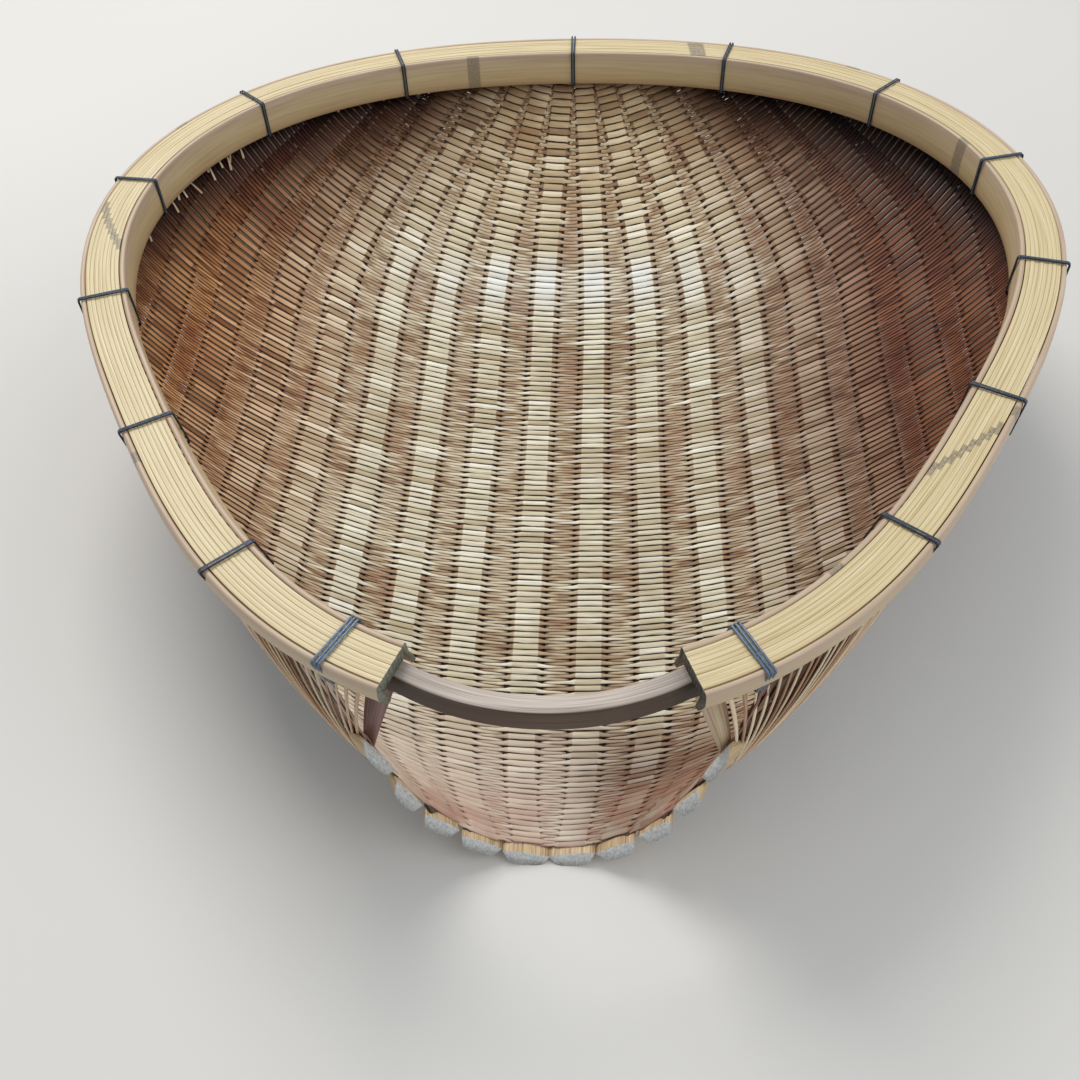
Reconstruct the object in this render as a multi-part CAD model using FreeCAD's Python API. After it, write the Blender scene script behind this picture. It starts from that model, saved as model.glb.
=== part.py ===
import FreeCAD, Part

import math
import os

# One-mouthed bamboo scoop basket, in millimetres.
# +Z is up, +Y runs from the open mouth to the back, the origin lies on the
# floor under the middle of the basket.

# ---- rim path: an egg-shaped hoop that stays open at the mouth ----
RIM_MEAN_RADIUS = 261.0
RIM_EGG = 16.0          # makes the back fuller than the front
RIM_OVAL = 6.5          # makes it a little longer than wide
RIM_TRIANGLE = -19.5    # gives the hoop its three soft corners
RIM_END_ANGLE = math.radians(167.5)

# ---- rim section ----
RIM_TOP = 140.0
HOOP_HEIGHT = 22.0
HOOP_THICKNESS = 2.5
RIM_WIDTH = 23.5
STRIP_COUNT = 8
STRIP_HEIGHT = 7.0
SEAM = 0.1              # gap between two neighbouring strips
RIM_UNDERSIDE = RIM_TOP - HOOP_HEIGHT

# ---- mouth bar, held between the two hoops under the cap strips ----
BAR_WIDTH = 8.4
BAR_HEIGHT = 13.0
BAR_FRONT_Y = -276.0
BAR_OFFSET = 0.4        # front face of the bar from the middle of the rim
BAR_TAIL_ANGLE = math.radians(155)

# ---- woven sheet ----
SHEET_THICKNESS = 2.6
SHEET_MID_Z = 3.9       # height of the middle of the sheet over the floor
WALL_OFFSET = 4.0       # the wall enters the rim this far outside its middle
WALL_TOP = 127.0
BOWL_DEPTH = 119.0 - SHEET_MID_Z
FLAT_BACK_Y = -130.0    # the floor starts to rise behind this line
LIP_Y = -267.0
LIP_BOW = 24.0          # the lip is this much further back at its corners
BOW_END_Y = -200.0
SPOUT_HALF_WIDTH = 76.0

# ---- ribs: flat split-bamboo slats under the sheet ----
RIB_PITCH = 34.5
LIP_PINCH = 0.38        # part of the pitch lost where the ribs meet the lip
PINCH_LENGTH = 28.0
BACK_PINCH = 0.62       # part of the pitch lost where the ribs meet the back rim
BACK_PINCH_Y = 80.0
OUTER_EASE = 0.25       # part of that pinch which the outer ribs don't follow
LIP_RIB_COUNT = 10
SIDE_RIBS = 3           # extra ribs on each side, held by the rim only
RIB_WIDTH = 13.0
LIP_END_WIDTH = 19.0
RIB_THICKNESS = 2.1
LIP_END_THICKNESS = 4.4
RIB_GAP = 0.6
SPOUT_GAP = 0.9         # extra gap in the tight curves at the sides of the spout
LIP_GAP = 1.0
LIP_END_LENGTH = 8.0
LIP_END_SLANT = 3.0

# ---- wire ties ----
WIRE = 1.4
WIRE_GAP = 0.3
TIE_ANGLES = (-162, -147, -123, -96, -71, -48, -26, 0, 23, 46, 67, 89, 116, 141, 162)
END_TIE_TURNS = 3
TIE_TURNS = 2

# ---- flat strips that stiffen the two upright edges of the mouth ----
EDGE_STRIP_WIDTH = 9.0
EDGE_STRIP_THICKNESS = 1.6


def vec(x, y, z=0.0):
    return FreeCAD.Vector(x, y, z)


def rim_radius(angle):
    """Distance from the Z axis to the middle of the rim; angle 0 is the back."""
    return (RIM_MEAN_RADIUS + RIM_EGG * math.cos(angle)
            + RIM_OVAL * math.cos(2 * angle) + RIM_TRIANGLE * math.cos(3 * angle))


def rim_frame(angle):
    """Point on the rim path and its outward unit normal, both in plan."""
    step = 1e-4
    radius = rim_radius(angle)
    slope = (rim_radius(angle + step) - rim_radius(angle - step)) / (2 * step)
    point = vec(radius * math.sin(angle), radius * math.cos(angle))
    tangent = vec(slope * math.sin(angle) + radius * math.cos(angle),
                  slope * math.cos(angle) - radius * math.sin(angle))
    tangent.normalize()
    return point, vec(-tangent.y, tangent.x)


def rim_point(angle, offset, z):
    point, outward = rim_frame(angle)
    moved = point + outward * offset
    return vec(moved.x, moved.y, z)


def curve(points):
    spline = Part.BSplineCurve()
    spline.interpolate(points)
    return spline.toShape()


def upright_band(inner, outer, height):
    """Solid between two plan curves given as point lists at the same height."""
    edges = [curve(inner), Part.makeLine(inner[-1], outer[-1]),
             curve(outer), Part.makeLine(outer[0], inner[0])]
    face = Part.Face(Part.Wire(Part.__sortEdges__(edges)))
    return face.extrude(vec(0, 0, height))


def rim_band(inner_offset, outer_offset, bottom, height):
    steps = 72
    angles = [RIM_END_ANGLE * (2.0 * i / steps - 1.0) for i in range(steps + 1)]
    inner = [rim_point(a, inner_offset, bottom) for a in angles]
    outer = [rim_point(a, outer_offset, bottom) for a in angles]
    return upright_band(inner, outer, height)


def inner_hoop():
    edge = -RIM_WIDTH / 2
    return rim_band(edge, edge + HOOP_THICKNESS, RIM_UNDERSIDE, HOOP_HEIGHT)


def outer_hoop():
    edge = RIM_WIDTH / 2
    return rim_band(edge - HOOP_THICKNESS, edge, RIM_UNDERSIDE, HOOP_HEIGHT)


def rim_strip(index):
    room = RIM_WIDTH - 2 * HOOP_THICKNESS
    pitch = room / STRIP_COUNT
    start = -room / 2 + index * pitch + SEAM / 2
    return rim_band(start, start + pitch - SEAM, RIM_TOP - STRIP_HEIGHT, STRIP_HEIGHT)


def bar_face(offset, middle_y):
    """Plan points of one face: an arc that runs on into the hollow rims."""
    tail_steps = 4
    angles = [BAR_TAIL_ANGLE + (RIM_END_ANGLE - BAR_TAIL_ANGLE) * i / tail_steps
              for i in range(tail_steps + 1)]
    bottom = RIM_TOP - STRIP_HEIGHT - WIRE_GAP - BAR_HEIGHT
    right = [rim_point(angle, offset, bottom) for angle in angles]
    end = right[-1]
    drop = end.y - middle_y
    radius = (end.x ** 2 + drop ** 2) / (2 * drop)
    for part in (0.66, 0.33):
        x = end.x * part
        y = middle_y + radius - math.sqrt(radius ** 2 - x ** 2)
        right.append(vec(x, y, bottom))
    left = [vec(-point.x, point.y, bottom) for point in right]
    return left + [vec(0, middle_y, bottom)] + right[::-1]


def mouth_bar():
    """Bent bar closing the mouth; both ends lie in the hollow of the rim."""
    back = bar_face(BAR_OFFSET - BAR_WIDTH, BAR_FRONT_Y + BAR_WIDTH)
    front = bar_face(BAR_OFFSET, BAR_FRONT_Y)
    return upright_band(back, front, BAR_HEIGHT)


# ---- bowl surface ----

def smooth_step(value):
    value = min(max(value, 0.0), 1.0)
    return value * value * (3.0 - 2.0 * value)


def wall_half_width(y):
    """Half the width of the bowl at its rim, at this distance along Y."""
    low, high = 0.0, math.pi
    for _ in range(40):
        angle = 0.5 * (low + high)
        if rim_point(angle, WALL_OFFSET, 0).y > y:
            low = angle
        else:
            high = angle
    width = rim_point(low, WALL_OFFSET, 0).x
    if y > 0:
        return width
    blend = 8.0
    return (width ** blend + SPOUT_HALF_WIDTH ** blend) ** (1.0 / blend)


WALL_BACK_Y = rim_radius(0.0) + WALL_OFFSET


def floor_height(y):
    """Height of the sheet on the centre line above its lowest part."""
    along = (y - FLAT_BACK_Y) / (WALL_BACK_Y - FLAT_BACK_Y)
    along = min(max(along, 0.0), 1.0)
    return BOWL_DEPTH * (1.0 - (1.0 - along ** 2.4) ** (1 / 1.1))


def section(y):
    """Half cross-section at y as (x, z, distance along the section) triples."""
    steps = 90
    blend = smooth_step((y + 265.0) / 180.0)
    flatness = 2.2 + 0.5 * blend
    steepness = 2.0 - 0.72 * blend
    half_width = wall_half_width(y)
    bottom = floor_height(y)
    points = []
    length = 0.0
    for i in range(steps + 1):
        sine = math.sin(0.5 * math.pi * i / steps)
        rise = 1.0 - max(1.0 - sine ** flatness, 0.0) ** (1.0 / steepness)
        x = half_width * sine
        z = SHEET_MID_Z + bottom + (BOWL_DEPTH - bottom) * rise
        if points:
            length += math.hypot(x - points[-1][0], z - points[-1][1])
        points.append((x, z, length))
    top = points[-1]
    points.append((top[0], WALL_TOP, length + WALL_TOP - top[1]))
    return points


SECTION_CACHE = {}


def cached_section(y):
    key = round(y, 3)
    if key not in SECTION_CACHE:
        SECTION_CACHE[key] = section(key)
    return SECTION_CACHE[key]


def half_length(y):
    return cached_section(y)[-1][2]


def sheet_point(y, across):
    """Point of the middle surface at signed distance across the section."""
    points = cached_section(y)
    distance = min(abs(across), points[-1][2])
    low, high = 0, len(points) - 1
    while high - low > 1:
        middle = (low + high) // 2
        if points[middle][2] > distance:
            high = middle
        else:
            low = middle
    span = points[high][2] - points[low][2]
    part = (distance - points[low][2]) / span
    x = points[low][0] + part * (points[high][0] - points[low][0])
    z = points[low][1] + part * (points[high][1] - points[low][1])
    return vec(math.copysign(x, across), y, z)


def row_y(start_y, fraction):
    """Y of a row of the sheet, bowed forward near the lip."""
    bow = LIP_BOW * min(max((BOW_END_Y - start_y) / (BOW_END_Y - LIP_Y), 0.0), 1.0)
    return start_y + bow * fraction * fraction


def row_starts():
    spout_rows = 8
    middle_rows = 13
    widest_y = 60.0
    rows = [LIP_Y + (BOW_END_Y - LIP_Y) * i / spout_rows for i in range(spout_rows)]
    rows += [BOW_END_Y + (widest_y - BOW_END_Y) * i / middle_rows
             for i in range(middle_rows)]
    back_rows = 11
    first_angle = math.radians(77)
    last_angle = math.radians(7)
    for i in range(back_rows):
        angle = first_angle + (last_angle - first_angle) * i / (back_rows - 1)
        rows.append(rim_point(angle, WALL_OFFSET, 0).y)
    return rows


def sheet_grid():
    half_columns = 18
    fractions = [i / float(half_columns) for i in range(-half_columns, half_columns + 1)]
    grid = []
    for start in row_starts():
        row = []
        for fraction in fractions:
            y = row_y(start, fraction)
            row.append(sheet_point(y, fraction * half_length(y)))
        grid.append(row)
    return grid


def grid_normal(grid, i, j):
    up = grid[min(i + 1, len(grid) - 1)][j] - grid[max(i - 1, 0)][j]
    side = grid[i][min(j + 1, len(grid[i]) - 1)] - grid[i][max(j - 1, 0)]
    normal = side.cross(up)
    normal.normalize()
    return normal


def offset_surface(grid, distance):
    rows = []
    for i in range(len(grid)):
        rows.append([grid[i][j] + grid_normal(grid, i, j) * distance
                     for j in range(len(grid[i]))])
    surface = Part.BSplineSurface()
    surface.interpolate(rows)
    return surface


def border_curves(surface):
    u0, u1, v0, v1 = surface.bounds()
    return [surface.uIso(u0), surface.uIso(u1), surface.vIso(v0), surface.vIso(v1)]


def shell_solid(grid, thickness):
    """Closed solid between the two offset surfaces of a grid of points."""
    upper = offset_surface(grid, thickness / 2)
    lower = offset_surface(grid, -thickness / 2)
    faces = [upper.toShape(), lower.toShape()]
    for above, below in zip(border_curves(upper), border_curves(lower)):
        faces.append(Part.makeRuledSurface(above.toShape(), below.toShape()))
    shell = Part.makeShell(faces)
    shell.sewShape()
    solid = Part.Solid(shell)
    if solid.Volume < 0:
        solid.reverse()
    return solid


def tie_plane(angle_degrees):
    """Point under the rim and the outward and along directions of a tie."""
    point, outward = rim_frame(math.radians(angle_degrees))
    along = vec(0, 0, 1).cross(outward)
    return point, outward, along


def tie_turns(index):
    return END_TIE_TURNS if index in (0, len(TIE_ANGLES) - 1) else TIE_TURNS


def tie_slot(index):
    """Block cut out of the wall so that the wire can pass under the rim."""
    point, outward, along = tie_plane(TIE_ANGLES[index])
    width = tie_turns(index) * (WIRE + 0.1) + 1.2
    depth = RIM_WIDTH + 6.0
    height = WIRE + 1.2
    corner = point - outward * (depth / 2) - along * (width / 2)
    corner.z = RIM_UNDERSIDE - WIRE_GAP - WIRE - 0.6
    box = Part.makeBox(depth, width, height)
    turn = math.degrees(math.atan2(outward.y, outward.x))
    box.rotate(vec(0, 0), vec(0, 0, 1), turn)
    box.translate(corner)
    return box


def woven_sheet():
    sheet = shell_solid(sheet_grid(), SHEET_THICKNESS)
    for index in range(len(TIE_ANGLES)):
        sheet = sheet.cut(tie_slot(index))
    return sheet


# ---- ribs ----

def rib_across(number, y):
    """Distance of a rib from the centre line, measured along the section."""
    front = 1.0 - LIP_PINCH * math.exp(-max(y - LIP_Y, 0.0) / PINCH_LENGTH)
    back = max(y - BACK_PINCH_Y, 0.0) / (WALL_BACK_Y - BACK_PINCH_Y)
    pinch = BACK_PINCH * (1.0 - OUTER_EASE * smooth_step((abs(number) - 2.0) / 3.5))
    return number * RIB_PITCH * front * (1.0 - pinch * back * back)


def surface_frame(y, across):
    """Point, unit directions across and along, and upward normal."""
    step = 2.0
    point = sheet_point(y, across)
    side = sheet_point(y, across + step) - sheet_point(y, across - step)
    ahead = sheet_point(y + step, across) - sheet_point(y - step, across)
    side.normalize()
    normal = side.cross(ahead)
    normal.normalize()
    return point, side, normal.cross(side), normal


def flat_section(centre, side, normal, width, top, bottom, lean=None):
    """Six-sided slat section; its two lower corners are cut off."""
    cut = 0.35 * (top - bottom)
    outline = [(-width / 2, top), (width / 2, top), (width / 2, bottom + cut),
               (width / 2 - 1.8 * cut, bottom), (-width / 2 + 1.8 * cut, bottom),
               (-width / 2, bottom + cut)]
    points = []
    for across, up in outline:
        point = centre + side * across + normal * up
        if lean is not None:
            point = point + lean * ((top - up) / (top - bottom))
        points.append(point)
    return Part.makePolygon(points + [points[0]])


def rib_stations(number):
    """Y values of the sections of a rib, from the front end to the back end."""
    margin = RIB_WIDTH / 2 + 12.0
    stations = []
    y = LIP_Y if abs(number) < LIP_RIB_COUNT / 2 else BOW_END_Y
    while y < WALL_BACK_Y - 4.0:
        across = rib_across(number, y)
        inside = abs(across) + margin < half_length(y)
        low = sheet_point(y, across).z < RIM_UNDERSIDE - 5.0
        if inside and low:
            stations.append(y)
        elif stations:
            break
        y += 8.0 if y < BOW_END_Y else 20.0
    return stations


def rib_width(y):
    narrow = 1.0 - 0.1 * smooth_step((y - 60.0) / 160.0)
    wide = (LIP_END_WIDTH - RIB_WIDTH) * math.exp(-(y - LIP_Y) / 30.0)
    return RIB_WIDTH * narrow + wide


def rib_top(number, y):
    """Height of the top of a rib over the middle of the sheet; always negative."""
    curved = min(abs(number) / (LIP_RIB_COUNT / 2.0), 1.0) ** 2
    gap = RIB_GAP + SPOUT_GAP * curved * math.exp(-(y - LIP_Y) / 40.0)
    return -SHEET_THICKNESS / 2 - gap


def rib_frame(number, y):
    """Surface frame of a rib at a row that may be bowed like the lip."""
    if abs(number) < LIP_RIB_COUNT / 2:
        y = row_y(y, rib_across(number, y) / half_length(y))
    return surface_frame(y, rib_across(number, y))


def rib_body(number, stations):
    sections = []
    for y in stations:
        point, side, ahead, normal = rib_frame(number, y)
        top = rib_top(number, y)
        if y == LIP_Y:
            point = point - ahead * LIP_GAP
        sections.append(flat_section(point, side, normal, rib_width(y),
                                     top, top - RIB_THICKNESS))
    return Part.makeLoft(sections, True)


def rib_lip_end(number):
    """Thick free end of a rib in front of the sheet, cut off at a slant."""
    point, side, ahead, normal = rib_frame(number, LIP_Y)
    bottom = rib_top(number, LIP_Y) - RIB_THICKNESS
    top = bottom + LIP_END_THICKNESS
    back = flat_section(point - ahead * LIP_GAP, side, normal, LIP_END_WIDTH, top, bottom)
    front = flat_section(point - ahead * LIP_END_LENGTH, side, normal, LIP_END_WIDTH,
                         top, bottom, ahead * -LIP_END_SLANT)
    return Part.makeLoft([front, back], True, True)


def rib(number):
    """One rib; number counts ribs from the centre line, in halves."""
    solid = rib_body(number, rib_stations(number))
    if abs(number) < LIP_RIB_COUNT / 2:
        solid = solid.fuse(rib_lip_end(number))
        floor = Part.makeBox(800, 800, 10, vec(-400, -400, -10))
        solid = solid.cut(floor)
    return solid


def rib_numbers():
    count = LIP_RIB_COUNT + 2 * SIDE_RIBS
    return [i - (count - 1) / 2.0 for i in range(count)]


# ---- wire ties ----

def tie_loop(index, turn):
    """One closed turn of wire around the rim section."""
    point, outward, along = tie_plane(TIE_ANGLES[index])
    shift = (turn - (tie_turns(index) - 1) / 2.0) * (WIRE + 0.1)
    centre = point + along * shift
    reach = RIM_WIDTH / 2 + WIRE_GAP + WIRE / 2
    low = RIM_UNDERSIDE - WIRE_GAP - WIRE / 2
    high = RIM_TOP + WIRE_GAP + WIRE / 2
    round_off = 1.2

    def at(across, z):
        spot = centre + outward * across
        return vec(spot.x, spot.y, z)

    edges = []
    corners = [(-1, low, 1), (1, low, 1), (1, high, -1), (-1, high, -1)]
    ends = []
    for side, z, up in corners:
        upright = at(side * reach, z + up * round_off)
        level = at(side * (reach - round_off), z)
        bend = round_off * (1.0 - math.sqrt(0.5))
        middle = at(side * (reach - bend), z + up * bend)
        edges.append(Part.Arc(upright, middle, level).toShape())
        ends.append((upright, level))
    edges.append(Part.makeLine(ends[0][1], ends[1][1]))
    edges.append(Part.makeLine(ends[1][0], ends[2][0]))
    edges.append(Part.makeLine(ends[2][1], ends[3][1]))
    edges.append(Part.makeLine(ends[3][0], ends[0][0]))
    path = Part.Wire(Part.__sortEdges__(edges))
    start = at(0, low)
    circle = Part.makeCircle(WIRE / 2, start, outward)
    return path.makePipeShell([Part.Wire(circle)], True, True)


def wire_tie(index):
    return Part.makeCompound([tie_loop(index, turn) for turn in range(tie_turns(index))])


# ---- mouth edge strips ----

def edge_strip(side):
    """Upright flat strip on the outside of one edge of the mouth."""
    steps = 6
    lowest = 0.78
    highest = 0.94
    middle = -SHEET_THICKNESS / 2 - RIB_GAP - EDGE_STRIP_THICKNESS / 2
    sections = []
    for i in range(steps + 1):
        fraction = lowest + (highest - lowest) * i / steps
        y = row_y(LIP_Y, fraction) + EDGE_STRIP_WIDTH / 2
        point, across, ahead, normal = surface_frame(y, side * fraction * half_length(y))
        centre = point + normal * middle
        half_w = ahead * (EDGE_STRIP_WIDTH / 2)
        half_t = normal * (EDGE_STRIP_THICKNESS / 2)
        ring = [centre - half_w - half_t, centre + half_w - half_t,
                centre + half_w + half_t, centre - half_w + half_t]
        sections.append(Part.makePolygon(ring + [ring[0]]))
    return Part.makeLoft(sections, True, True)


def all_parts():
    parts = {"inner_hoop": inner_hoop(), "outer_hoop": outer_hoop(),
             "mouth_bar": mouth_bar(), "woven_sheet": woven_sheet(),
             "edge_strip_left": edge_strip(-1), "edge_strip_right": edge_strip(1)}
    for index in range(STRIP_COUNT):
        parts["rim_strip_%02d" % (index + 1)] = rim_strip(index)
    for index, number in enumerate(rib_numbers()):
        parts["rib_%02d" % (index + 1)] = rib(number)
    for index in range(len(TIE_ANGLES)):
        parts["wire_tie_%02d" % (index + 1)] = wire_tie(index)
    return parts


os.makedirs("parts", exist_ok=True)
for name, shape in all_parts().items():
    shape.exportStep("parts/%s.step" % name)
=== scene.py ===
import math
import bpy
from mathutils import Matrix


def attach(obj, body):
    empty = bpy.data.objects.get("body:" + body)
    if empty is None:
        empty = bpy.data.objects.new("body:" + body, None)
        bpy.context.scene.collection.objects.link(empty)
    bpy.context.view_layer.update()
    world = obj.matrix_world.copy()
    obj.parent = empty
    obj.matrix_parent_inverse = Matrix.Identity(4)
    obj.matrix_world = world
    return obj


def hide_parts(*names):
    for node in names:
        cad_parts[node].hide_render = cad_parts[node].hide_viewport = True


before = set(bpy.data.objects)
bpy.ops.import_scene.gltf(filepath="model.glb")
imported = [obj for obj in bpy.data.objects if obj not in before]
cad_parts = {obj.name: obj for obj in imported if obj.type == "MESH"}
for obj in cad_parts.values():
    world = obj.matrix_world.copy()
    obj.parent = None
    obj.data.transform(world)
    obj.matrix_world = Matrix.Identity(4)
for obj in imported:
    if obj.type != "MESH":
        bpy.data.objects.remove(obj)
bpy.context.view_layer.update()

from types import SimpleNamespace

import bpy
import numpy as np
from mathutils import Matrix, Vector

# One-mouthed bamboo scoop basket: the looks built around the CAD frame.
# Lengths are millimetres in the CAD frame, and make_mesh turns them into metres.
# +Y points from the mouth to the back. Materials read places on the basket in metres.

MM = 0.001
CHANCE = np.random.default_rng(11)
UP = np.array([0.0, 0.0, 1.0])

# ---- rim path, as in the CAD ----
RIM_MEAN_RADIUS = 261.0
RIM_EGG = 16.0          # makes the back fuller than the front
RIM_OVAL = 6.5          # makes it a little longer than wide
RIM_TRIANGLE = -19.5    # gives the hoop its three soft corners
RIM_END_ANGLE = math.radians(167.5)
RIM_STEPS = 240
RIM_TOP = 140.0
RIM_WIDTH = 23.5
HOOP_HEIGHT = 22.0
HOOP_THICKNESS = 2.5
HOOP_BULGE = 0.8        # of the skin side
HOOP_CORNER = 1.0
RIM_UNDERSIDE = RIM_TOP - HOOP_HEIGHT
STRIP_COUNT = 8
STRIP_HEIGHT = 7.0
STRIP_CORNER = 0.12
STRIP_SEAM = 0.1        # between two strips
SIDE_SEAM = 0.45        # open seam between the strips and each hoop
STRIP_DROP = 0.22       # a strip lies at most this much too low
STRIP_WAVES = ((0.1, 3), (0.06, 11))    # height of its slow waves, and how many
END_SLICE = 0.001       # radians: the ring before a sawn end, so that only the end looks cut

# ---- how the rim changes towards the mouth ----
FRONT_ANGLE = math.radians(100)
FRONT_RATE = 1.6        # the change is complete before the ends
FRONT_LEAN = 0.3        # inward, for each millimetre below the strips
FRONT_LOSS = 0.3        # of the height below the strips

# ---- bamboo nodes on the rim, as angles in degrees from the back ----
INNER_NODES = (-15.4, 62.0, 150.0)
OUTER_NODES = (-128.0, -58.0, 40.0, 118.0)
STRIP_NODES = ((-86.0, -76.5), (132.5, 121.0), (19.0, 18.0))    # on the inner and outer strip
HOOP_SCAR = 0.024       # radians, half the width of a node mark
STRIP_SCAR = 0.03

# ---- mouth bar ----
BAR_WIDTH = 8.4
BAR_HEIGHT = 13.0
BAR_CORNER = 1.3
BAR_FRONT_Y = -276.0
BAR_OFFSET = 0.4        # front face of the bar from the middle of the rim
BAR_SEAM = 0.3          # under the strips
BAR_TOP = RIM_TOP - STRIP_HEIGHT - BAR_SEAM
BAR_TAIL_ANGLE = math.radians(155)

# ---- bowl surface, as in the CAD ----
SHEET_MID_Z = 3.9       # height of the middle of the sheet over the floor
WALL_OFFSET = 4.0       # the wall enters the rim this far outside its middle
WALL_TOP = 127.0
BOWL_DEPTH = 119.0 - SHEET_MID_Z
SHEET_AHEAD = 12.0      # the surface is known this far ahead of the lip, for the lip ends
SHEET_BACK_GAP = 0.3    # and up to this distance from the back wall
BACK_MARGIN = 1.0       # ribs and rows stop this short of the back wall
FLAT_BACK_Y = -130.0    # the floor starts to rise behind this line
BOTTOM_START = 2.4      # exponents of the rising floor, at its start and at the rim
BOTTOM_END = 1.1
SECTION_Y = -265.0      # the cross section changes from the spout's to the bowl's
SECTION_LENGTH = 180.0
SPOUT_FLATNESS = 2.2    # exponents of the section, flat in the middle and steep at the rim
FLATNESS_GAIN = 0.5
SPOUT_STEEPNESS = 2.0
STEEPNESS_LOSS = 0.72
LIP_Y = -267.0
LIP_BOW = 24.0          # the lip is this much further back at its corners
BOW_END_Y = -200.0
SPOUT_HALF_WIDTH = 76.0
SPOUT_BLEND = 8.0       # exponent that joins the spout to the walls

# ---- ribs ----
RIB_PITCH = 34.5
LIP_PINCH = 0.38        # part of the pitch lost where the ribs meet the lip
PINCH_LENGTH = 28.0
BACK_PINCH = 0.62       # part of the pitch lost where the ribs meet the back rim
BACK_PINCH_Y = 80.0
OUTER_EASE = 0.25       # part of that pinch which the outer ribs don't follow
EASE_START = 2.0        # ribs from the middle
EASE_SPAN = 3.5
LIP_RIB_COUNT = 10
SIDE_RIBS = 3           # extra ribs on each side, held by the rim only
RIB_WIDTH = 13.0
RIB_THICKNESS = 1.3
RIB_SPARE = 0.3         # added to each half of the visible rib
RIB_SHOULDER = 10.6     # half width of the thin shoulders hidden under the wefts, dark with painted shade where the gaps show them
RIB_SHARE = 0.42        # of the pitch, where the ribs crowd together
RIB_SECTION = ((-1, -1), (1, -1), (1, 0), (1, 1), (-1, 1), (-1, 0))     # side and level
RIB_SHADE = 0.8         # how far painted shade darkens the ribs and their shoulders, from 0 to 1
SHOULDER_SHADE = 1.0

# ---- thick free ends of the ribs at the lip ----
LIP_END_WIDTH = 20.4
LIP_END_THICKNESS = 4.4
LIP_END_SLANT = 3.0
LIP_END_REACH = 6.0
LIP_END_CROWN = 0.08    # share of the thickness by which the top falls to its sides
LIP_END_BELLY = 0.55    # and by which the underside rises to its sides
LIP_END_SECTIONS = (    # distance behind the lip, thickness, height of the top, share of the width
    (12.0, 1.4, -1.9, 0.72),
    (8.0, 2.0, -1.9, 0.8),
    (4.0, 3.0, -1.7, 0.9),
    (0.0, 4.2, -0.6, 1.02),
    (-2.5, 5.0, 0.5, 1.08),
    (-5.0, 5.2, 0.8, 1.09),
    (-5.9, 5.2, 0.8, 1.09),
    (-6.0, 5.2, 0.8, 1.08))
LOOSE_SECTIONS = 4      # the last sections, which differ in place from one end to another
LOOSE_REACH = 0.7
LIP_END_SPREAD = (0.97, 1.02)       # of the widths
LIP_END_TILT = 0.05
OUTERMOST_GAIN = 1.2    # the outermost end on each side is wider and turned less upright
OUTERMOST_TURN = (1.0, 1.0, 0.7)

# ---- rows of the weft: the thin splints woven across the ribs ----
WEFT_PITCH = 2.0
BACK_PITCH_GAIN = 0.72  # the wefts lie this much further apart at the back
BACK_PITCH_Y = 60.0
BACK_PITCH_LENGTH = 110.0
WORN_Y = -212.0         # in front of this line the weave is fine, flat and worn
WORN_LENGTH = 40.0
WORN_PITCH_LOSS = 0.6
WORN_PITCH_LENGTH = 30.0
LIP_REACH = 1.5         # the wefts reach this far over the thick ends of the ribs
ROW_LEAN_Y = (-200.0, -100.0, 60.0, 120.0, 160.0, 260.0)
ROW_LEAN = (0.0, 2.2, 7.2, 11.6, 11.6, 5.0)     # run back per rib, far from the middle
ROW_LEAN_GAIN = 1.15
ROW_LEAN_SPREAD = 2.7   # ribs from the middle over which the lean builds up
COLUMN_STEP = 0.1       # columns are places across the bowl, one rib pitch apart
LAST_COLUMN = 10.0
OUTER_COLUMN = 9.5
SIDE_COLUMN = 4.2       # outside this column the weave is that of the side walls
SIDE_SPAN = 2.3
FADE_COLUMN = 8.6       # outside this column the splints lie flat under the rim
WEFT_PIECES = 8

# ---- splints of the weft ----
WEFT_THICKNESS = 0.9
WEFT_LIFT = 1.25        # how far a splint rises over or dives under a rib
WEFT_SECTION = ((-0.37, 0.5), (0.37, 0.5), (0.5, 0.0), (0.37, -0.5), (-0.37, -0.5), (-0.5, 0.0))
TOP_LOSS = 0.4          # the splints on the side walls are this much more rounded
EDGE_LEVEL = -0.9       # the edges of a splint get the painted shade of one that dives deep
LEAST_SWING = 0.25      # share of the lift that stays where the weave is flat
WORN_FLATTENING = 0.7
SIDE_FLATTENING = 0.65
ON_RIB_FILL = 1.84      # splint width over a rib, as a share of the pitch
IN_GAP_FILL = 1.02
SIDE_FILL_GAIN = 0.08
SPREAD_LENGTH = 0.22    # share of the gap in which the width over a rib fades
WORN_SPREAD = 0.16
SIDE_SPREAD_LOSS = 0.4
TAPER = 0.45            # width lost where a splint dives under a rib
TAPER_LENGTH = 0.4
SIDE_TAPER_LOSS = 0.6
WORN_TAPER_LOSS = 0.7
WEFT_WOBBLE = 0.09
WEFT_WIDTHS = (0.92, 1.04)
ROW_GAPS = (0.6, 2.3)   # least and most distance between rows, in pitches
TONE_CELLS = 60         # tones along a row: one for each gap and one for each rib
GAP_CELL = 20           # the middle gap's
RIB_CELLS = 20.0        # further on, the ribs'
CELL_SHARE = 0.65       # the rest of a splint's tone is its row's

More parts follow.
